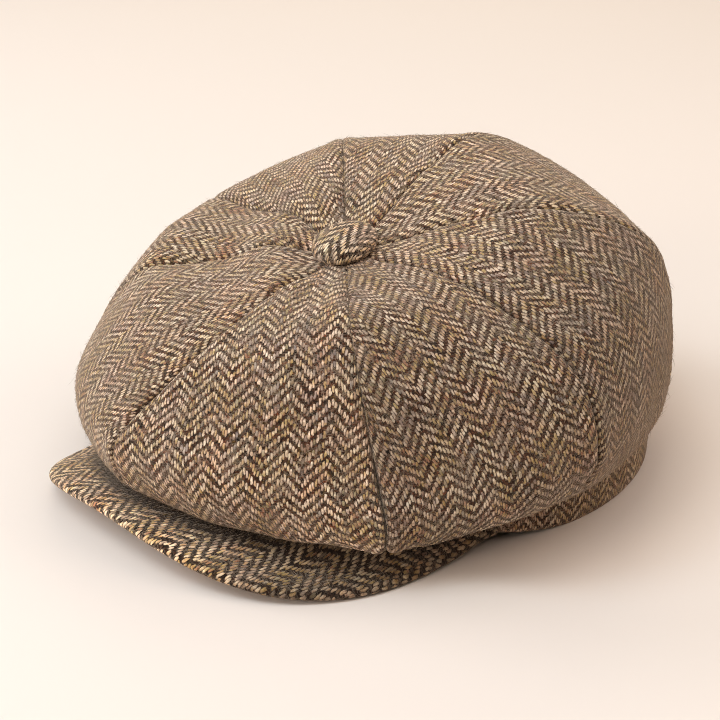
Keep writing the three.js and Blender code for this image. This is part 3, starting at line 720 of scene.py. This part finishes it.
# even out the spacing along the edge
s = np.concatenate([[0], np.cumsum(np.linalg.norm(np.diff(edge, axis=0), axis=1))])
reach_mm = np.linalg.norm(edge - root, axis=1)
half = PEAK["wall"] / 2
plan = unit((edge - root) * np.array([1, 1, 0]))
slope = (edge - root)[:, 2] / np.maximum(reach_mm, 1e-6)
TT = np.linspace(0, 1, OUT + 1)
body = 1 - np.minimum(half, 0.45 * reach_mm) / np.maximum(reach_mm, 1e-6)      # the round edge starts this far out
sections, wv = [], []
arc_x = np.concatenate([[0], np.cumsum(np.hypot(np.diff(np.linspace(-110, 110, 2201)), np.diff(arch_z(np.linspace(-110, 110, 2201)))))])
arc_x -= np.interp(PEAK["centre_x"], np.linspace(-110, 110, 2201), arc_x)
flat_x = lambda x: np.interp(x, np.linspace(-110, 110, 2201), arc_x)
loops, flats, beyond = [], [], []
tops = []
for i in range(WIDE + 1):
    line = sag(root[i] + (stretched[i] - root[i]) * (TT * body[i])[:, None] + WALL) - WALL
    puff = 0.5 * noise(line[:, 0] / 24, line[:, 1] / 24, 130) + 0.25 * noise(line[:, 0] / 11, line[:, 1] / 11, 131)
    puff = puff * smooth(TT * 4) * smooth((1 - TT) * 8)
    lip = 0.35 * np.exp(-(((1 - TT) * reach_mm[i] - 3.5) / 2.0) ** 2)           # the seam allowance swells just inside the edge
    top = line + np.array([0, 0, 1.0]) * (2 * half + puff + lip)[:, None]
    under = line + np.array([0, 0, 1.0]) * (0.25 * puff)[:, None]
    nose_r = reach_mm[i] * (1 - body[i])
    a = np.linspace(np.pi / 2, -np.pi / 2, NOSE + 1)[1:-1]
    centre = line[-1] + np.array([0, 0, half])
    nose = centre + plan[i] * (nose_r * np.cos(a))[:, None] + np.array([0, 0, 1.0]) * (half * np.sin(a))[:, None]
    nose[:, 2] += slope[i] * nose_r * np.cos(a)
    loops.append(np.concatenate([top, nose, under[::-1]]))
    tops.append(top)
    flats.append(np.stack([flat_x(line[:, 0]), line[:, 1]], 1))
    beyond.append(np.concatenate([half * (np.pi / 2 - a), half * np.pi + np.linalg.norm(line[::-1] - line[-1], axis=1)]))
loops = np.array(loops)
flats = relax(np.array(tops), np.array(flats), 220)
ahead = unit(flats[:, -1] - flats[:, -4])
flats = np.concatenate([flats, flats[:, -1:] + ahead[:, None, :] * np.array(beyond)[..., None]], 1)
grain = np.array([[math.cos(PEAK_GRAIN), math.sin(PEAK_GRAIN)], [-math.sin(PEAK_GRAIN), math.cos(PEAK_GRAIN)]])
flats = flats @ grain * np.array(PEAK_WEAVE)
ring_n = loops.shape[1]
r, c = np.meshgrid(np.arange(WIDE), np.arange(ring_n), indexing="ij")
r, c = r.ravel(), c.ravel()
cn = (c + 1) % ring_n
faces = np.stack([r * ring_n + c, r * ring_n + cn, (r + 1) * ring_n + cn, (r + 1) * ring_n + c], 1)
caps = []
for row, flip in ((0, False), (WIDE, True)):        # close the two ends with strips across the wall
    first = row * ring_n
    for q in range(ring_n // 2 - 1):
        face = [first + q, first + q + 1, first + ring_n - 2 - q, first + ring_n - 1 - q]
        caps.append(face[::-1] if not flip else face)
faces = np.concatenate([faces, np.array(caps)])
weave = np.concatenate([flats, np.full(flats.shape[:2] + (1,), 311.0)], 2)
# painted shade: deep in the fold between crown and peak, where the crown lies close over it, the peak's cloth is
# painted dark
fold_points = np.concatenate([grid[ALONG // 2:].reshape(-1, 3) for _, n, grid, _ in SURFACES[:COUNT] if n in (0, 1, 2, 7)])
near = KDTree(len(fold_points))
for i, q in enumerate(fold_points):
    near.insert(q, i)
near.balance()
far = np.array([near.find(q)[2] for q in loops.reshape(-1, 3)]).reshape(loops.shape[:2])
shade = 0.96 * (1 - smooth((far - 2.2) / 6.0))
# painted shadow: the peak is also painted darker towards its right end, under the crown's overhang
peak = make_piece("stiff_peak", loops.reshape(-1, 3), faces, weave.reshape(-1, 3), PRESSED, seam_and_painted_shade=shade, nap=0.66 * smooth((loops[..., 0] - 8) / 55))
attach(peak, "root")
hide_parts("peak")
tops = np.array(tops)
tn = grid_normals(tops)
SURFACES.append(("peak", 0, tops, tn * np.sign(tn[..., 2:3] + 1e-9)))

# ---------------------------------------------------------------- button
lo, hi = (np.array(x) * 1000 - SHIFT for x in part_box("button"))
tilt = math.atan(SEAT["slope"])
turn_x = np.array(Matrix.Rotation(tilt, 3, "X"))
RINGS, SECTORS = 40, 120
theta = np.linspace(0, 2 * np.pi, SECTORS, endpoint=False)
R, RISE = BUTTON["radius"], BUTTON["rise"]
# profile from the pole down over the shoulder and in under the edge
ph = np.linspace(0, 1, RINGS + 1)
ang = ph * (np.pi / 2 * 1.42)
pr = R * np.abs(np.sin(np.minimum(ang, np.pi / 2))) ** 0.80
pz = np.where(ang < np.pi / 2, 2.4 + (RISE - 2.4) * np.abs(np.cos(np.minimum(ang, np.pi / 2))) ** 0.85, 2.4 - 2.4 * np.sin((ang - np.pi / 2) / 0.42 * 1.0 * 0.999) ** 0.9)
pr = np.where(ang < np.pi / 2, pr, R - 2.6 * (1 - np.cos((ang - np.pi / 2) / 0.42 * 0.999)))
arc = np.concatenate([[0], np.cumsum(np.hypot(np.diff(pr), np.diff(pz)))])
TH, PH = np.meshgrid(theta, np.arange(RINGS + 1), indexing="xy")
fold = 0.35 * noise(TH / (2 * np.pi) * 16, PH / 14.0, 140) * smooth((PH / RINGS - 0.55) / 0.3)
rad_ = pr[PH] + fold * smooth(PH / RINGS * 3)
local = vec(rad_ * np.cos(TH), rad_ * np.sin(TH), pz[PH] + 0.5 * fold)
base = np.array([APEX[0], APEX[1], APEX[2]])
up = turn_x @ np.array([0, 0, 1.0])
turned = local @ turn_x.T
lift = (lo[2] - (turned[..., 2].min() + base[2]))
pts = turned + base + np.array([0, 0, lift])
wv_b = vec(arc[PH] * np.cos(TH), 0.78 * arc[PH] * np.sin(TH), np.full(TH.shape, 401.0))
rows = RINGS + 1
r, c = np.meshgrid(np.arange(1, rows - 1), np.arange(SECTORS), indexing="ij")
r, c = r.ravel(), c.ravel()
cn = (c + 1) % SECTORS
keep = pts[1:].reshape(-1, 3)
ids = lambda rr, cc: (rr - 1) * SECTORS + cc
quads = np.stack([ids(r, c), ids(r + 1, c), ids(r + 1, cn), ids(r, cn)], 1)
cc = np.arange(SECTORS)
pole, foot = len(keep), len(keep) + 1
cap_top = np.stack([np.full(SECTORS, pole), ids(1, cc), ids(1, (cc + 1) % SECTORS)], 1)
cap_low = np.stack([np.full(SECTORS, foot), ids(rows - 1, (cc + 1) % SECTORS), ids(rows - 1, cc)], 1)
verts = np.concatenate([keep, [pts[0, 0]], [pts[-1].mean(0)]])
wvs = np.concatenate([wv_b[1:].reshape(-1, 3), [[0, 0, 401.0]], [[0, 40.0, 401.0]]])
tri = np.concatenate([quads[:, [0, 1, 2]], quads[:, [0, 2, 3]], cap_top, cap_low])
button = make_piece("covered_button", verts, tri, wvs, COVER)
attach(button, "root")
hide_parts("button")
bn = grid_normals(pts, True)
centre_b = pts.reshape(-1, 3).mean(0)
bn = bn * np.sign(((pts - centre_b) * bn).sum(-1, keepdims=True) + 1e-9)
SURFACES.append(("button", 0, pts[: int(RINGS * 0.72)], bn[: int(RINGS * 0.72)]))

# ---------------------------------------------------------------- stray fibres
FIBRES = {"crown": 2200, "band": 1500, "peak": 1500, "button": 160}      # long hairs, per surface
PAINTED_SHADE_AND_PILE = {"crown": 3200, "band": 2400, "peak": 2200, "button": 260}          # short pile, per surface


def strands(points, normals, count, seed, longer=1.0):
    """Short curved hairs standing a little off a grid surface; each is a closed three-sided spindle."""
    rng = np.random.default_rng(seed)
    rows, cols = points.shape[:2]
    a, b, c = points[:-1, :-1], points[1:, :-1], points[:-1, 1:]
    size = np.linalg.norm(np.cross(b - a, c - a), axis=2).ravel()
    cell = rng.choice(len(size), count, p=size / size.sum())
    r, q = cell // (cols - 1), cell % (cols - 1)
    s, t = rng.random((2, count, 1))
    base = points[r, q] * (1 - s) * (1 - t) + points[r + 1, q] * s * (1 - t) + points[r, q + 1] * (1 - s) * t + points[r + 1, q + 1] * s * t
    n = normals[r, q]
    e = unit(points[r + 1, q] - points[r, q])
    f = np.cross(n, e)
    way = rng.uniform(0, 2 * np.pi, (count, 1))
    flat = e * np.cos(way) + f * np.sin(way)
    side = np.cross(n, flat)
    length = np.clip(rng.lognormal(0.55, 0.5, (count, 1)), 0.7, 5.5) * longer
    rise = np.radians(rng.uniform(3, 30, (count, 1)))
    bend = rng.uniform(-0.5, 0.5, (count, 1))
    drop = rng.uniform(0.0, 0.35, (count, 1))
    thick = rng.uniform(0.028, 0.070, (count, 1))
    pts = []
    for w in (0.0, 0.5, 1.0):
        pts.append(base - n * 0.15 + flat * np.cos(rise) * length * w + n * np.sin(rise) * length * (w - drop * w * w) + side * bend * length * w * w)
    p0, p1, p2 = pts
    k0, k1 = n, side
    ring = lambda p, rr: [p + (k0 * math.cos(x) + k1 * math.sin(x)) * rr for x in (0, 2 * math.pi / 3, 4 * math.pi / 3)]
    v = np.stack([*ring(p0, thick), *ring(p1, thick * 0.85), p2], 1)       # 7 points each
    o = (np.arange(count) * 7)[:, None]
    tri = []
    for x in range(3):
        y = (x + 1) % 3
        tri += [(x, y, 3 + y), (x, 3 + y, 3 + x), (3 + x, 3 + y, 6)]
    tri.append((2, 1, 0))
    faces = (o[:, :, None] + np.array(tri)[None]).reshape(-1, 3)
    tint = np.repeat(rng.random(count), 7)
    return v, faces.reshape(count, -1, 3), tint


def pile(points, normals, count, seed):
    """Short straight hairs of the nap; each is a closed three-sided spike."""
    rng = np.random.default_rng(seed)
    cols = points.shape[1]
    a, b, c = points[:-1, :-1], points[1:, :-1], points[:-1, 1:]
    size = np.linalg.norm(np.cross(b - a, c - a), axis=2).ravel()
    cell = rng.choice(len(size), count, p=size / size.sum())
    r, q = cell // (cols - 1), cell % (cols - 1)
    s, t = rng.random((2, count, 1))
    base = points[r, q] * (1 - s) * (1 - t) + points[r + 1, q] * s * (1 - t) + points[r, q + 1] * (1 - s) * t + points[r + 1, q + 1] * s * t
    n = normals[r, q]
    e = unit(points[r + 1, q] - points[r, q])
    f = np.cross(n, e)
    way = rng.uniform(0, 2 * np.pi, (count, 1))
    flat = e * np.cos(way) + f * np.sin(way)
    rise = np.radians(rng.uniform(12, 65, (count, 1)))
    length = np.clip(rng.lognormal(-0.42, 0.42, (count, 1)), 0.25, 1.35)
    thick = rng.uniform(0.035, 0.06, (count, 1))
    side = np.cross(n, flat)
    ring = [base - n * 0.1 + (n * math.cos(x) + side * math.sin(x)) * thick for x in (0, 2 * math.pi / 3, 4 * math.pi / 3)]
    v = np.stack([*ring, base + (flat * np.cos(rise) + n * np.sin(rise)) * length], 1)
    o = (np.arange(count) * 4)[:, None, None]
    return v, o + np.array([(0, 1, 3), (1, 2, 3), (2, 0, 3), (2, 1, 0)])[None], np.repeat(rng.random(count), 4)


def above_floor(v, faces, tint):
    """Leaves out the hairs that would reach the floor."""
    keep = v[..., 2].min(1) > 0.15
    per = v.shape[1]
    new = np.cumsum(keep) - 1
    faces = faces[keep] + ((new[keep] - np.nonzero(keep)[0]) * per)[:, None, None]
    return v[keep].reshape(-1, 3), faces.reshape(-1, 3), tint.reshape(-1, per)[keep].ravel()


hairs = {}
for kind, n, pts_, nrm in SURFACES:
    hairs.setdefault(("stray_fibres", kind), []).append(above_floor(*strands(pts_, nrm, FIBRES[kind], 500 + n + len(kind))))
    hairs.setdefault(("nap", kind), []).append(above_floor(*pile(pts_, nrm, PAINTED_SHADE_AND_PILE[kind], 700 + n + len(kind))))
    if kind == "crown" and n in (0, 1, 2, 7):          # the low roll over the peak and the band is worn hairy
        low = (STATIONS > 4.9) & (STATIONS < 6.4)
        hairs.setdefault(("loose_hairs", kind), []).append(above_floor(*strands(pts_[low], nrm[low], 420, 900 + n, 1.35)))
    if kind == "peak":                                 # a tuft of loose ends where the peak runs out on the band
        hairs.setdefault(("loose_hairs", kind), []).append(above_floor(*strands(pts_[-16:], nrm[-16:], 90, 950, 1.5)))
for (what, kind), parts in hairs.items():
    offset, vv, ff, tt = 0, [], [], []
    for v, fc, tint in parts:
        vv.append(v); ff.append(fc + offset); tt.append(tint)
        offset += len(v)
    tt = np.concatenate(tt)
    ob = make_piece(f"{what}_{kind}", np.concatenate(vv), np.concatenate(ff), vec(tt, 0 * tt, 0 * tt), FIBRE)
    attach(ob, "root")

# ---------------------------------------------------------------- peak cloth area and span
peak_area = float(np.linalg.norm(np.cross(tops[1:, 1:] - tops[:-1, :-1], tops[1:, :-1] - tops[:-1, 1:]), axis=2).sum() / 2) / 1e6
span = tops.reshape(-1, 3).max(0) - tops.reshape(-1, 3).min(0)

# ---------------------------------------------------------------- floor, light, camera
floor_me = bpy.data.meshes.new("floor")
floor_me.from_pydata([(-4, -4, 0), (4, -4, 0), (4, 4, 0), (-4, 4, 0)], [], [(0, 1, 2, 3)])
floor = bpy.data.objects.new("floor", floor_me)
bpy.context.scene.collection.objects.link(floor)
fm = bpy.data.materials.new("floor_paper")
fm.use_nodes = True
fp = fm.node_tree.nodes["Principled BSDF"]
fp.inputs["Base Color"].default_value = (0.86, 0.765, 0.69, 1)
fp.inputs["Roughness"].default_value = 0.95
fp.inputs["Specular IOR Level"].default_value = 0.1
floor_me.materials.append(fm)

AZ, EL, DIST, LENS = 45.99, 25.19, 652.04, 80.0
az, el = math.radians(AZ), math.radians(EL)
back = np.array([math.sin(az) * math.cos(el), -math.cos(az) * math.cos(el), math.sin(el)])
right = np.array([math.cos(az), math.sin(az), 0.0])
upv = np.cross(back, right)
target = right * -28.51 + upv * -14.75 + np.array([0, 0, 50.0])


def in_row(p):
    return Vector(((np.asarray(p) + SHIFT) / 1000).tolist())


cam = bpy.data.cameras.new("camera")
cam.lens, cam.sensor_width, cam.sensor_fit = LENS, 36.0, "HORIZONTAL"
cam.clip_start, cam.clip_end = 0.02, 30
cam_ob = bpy.data.objects.new("camera", cam)
cam_ob.location = in_row(target + back * DIST)
cam_ob.rotation_mode = "QUATERNION"
cam_ob.rotation_quaternion = Vector((-back).tolist()).to_track_quat("-Z", "Y")
bpy.context.scene.collection.objects.link(cam_ob)
bpy.context.scene.camera = cam_ob


def area_light(name, place, aim, size, power, colour):
    d = bpy.data.lights.new(name, "AREA")
    d.shape, d.size, d.size_y = "RECTANGLE", size[0], size[1]
    d.energy, d.color = power, colour
    o = bpy.data.objects.new(name, d)
    o.location = in_row(np.asarray(place) * 1000.0)
    way = in_row(np.asarray(aim) * 1000.0) - o.location
    o.rotation_mode = "QUATERNION"
    o.rotation_quaternion = way.to_track_quat("-Z", "Y")
    bpy.context.scene.collection.objects.link(o)
    return o


flat_back = np.array([math.sin(az), -math.cos(az), 0.0])       # towards the camera on the floor
# soft boxes 1.6 m away: elevation, turn from the camera's side (90 = picture right), size (m), power (W) in red, green and blue
LIGHT_COLUMNS = ("elevation", "turn", "size", "red", "green", "blue")
LIGHT_ROWS = (
    (28, 180, 1.2, 6.1, 5.3, 4.3), (50, 180, 1.2, 3.5, 3.3, 2.9), (50, 90, 1.2, 7.9, 7.3, 7.0), (28, 90, 1.2, 5.0, 3.8, 2.8),
    (85, 0, 1.2, 4.2, 4.2, 4.3), (20, 250, 0.6, 9.8, 10.2, 10.8), (20, 310, 0.6, 6.0, 5.2, 4.6), (34, 335, 0.6, 3.8, 3.5, 3.2),
    (48, 290, 0.6, 2.4, 3.0, 3.5), (48, 310, 0.6, 1.3, 1.4, 1.6), (64, 290, 0.6, 2.1, 2.6, 3.0), (64, 310, 0.6, 1.2, 1.5, 1.7),
    (64, 335, 0.6, 3.6, 3.4, 3.1),
)
for number, row in enumerate(ROWS(LIGHT_COLUMNS, LIGHT_ROWS)):
    e, a = math.radians(row["elevation"]), math.radians(row["turn"])
    way = (flat_back * math.cos(a) + right * math.sin(a)) * math.cos(e) + np.array([0, 0, math.sin(e)])
    tint = np.array([row["red"], row["green"], row["blue"]])
    area_light(f"softbox_{number + 1}", way * 1.6, (0, 0, 0.03), (row["size"], row["size"]), float(tint.max()), tuple(tint / tint.max()))

world = bpy.data.worlds.new("studio")
bpy.context.scene.world = world
world.use_nodes = True
bg = world.node_tree.nodes["Background"]
bg.inputs["Color"].default_value = (1.0, 0.965, 0.93, 1)
bg.inputs["Strength"].default_value = 0.0

bpy.context.scene.cycles.use_denoising = True
bpy.context.scene.cycles.denoising_prefilter = "NONE"
bpy.context.scene.cycles.filter_width = 0.95
view = bpy.context.scene.view_settings
view.view_transform, view.look, view.exposure, view.gamma = "Standard", "None", 0.0, 1.0
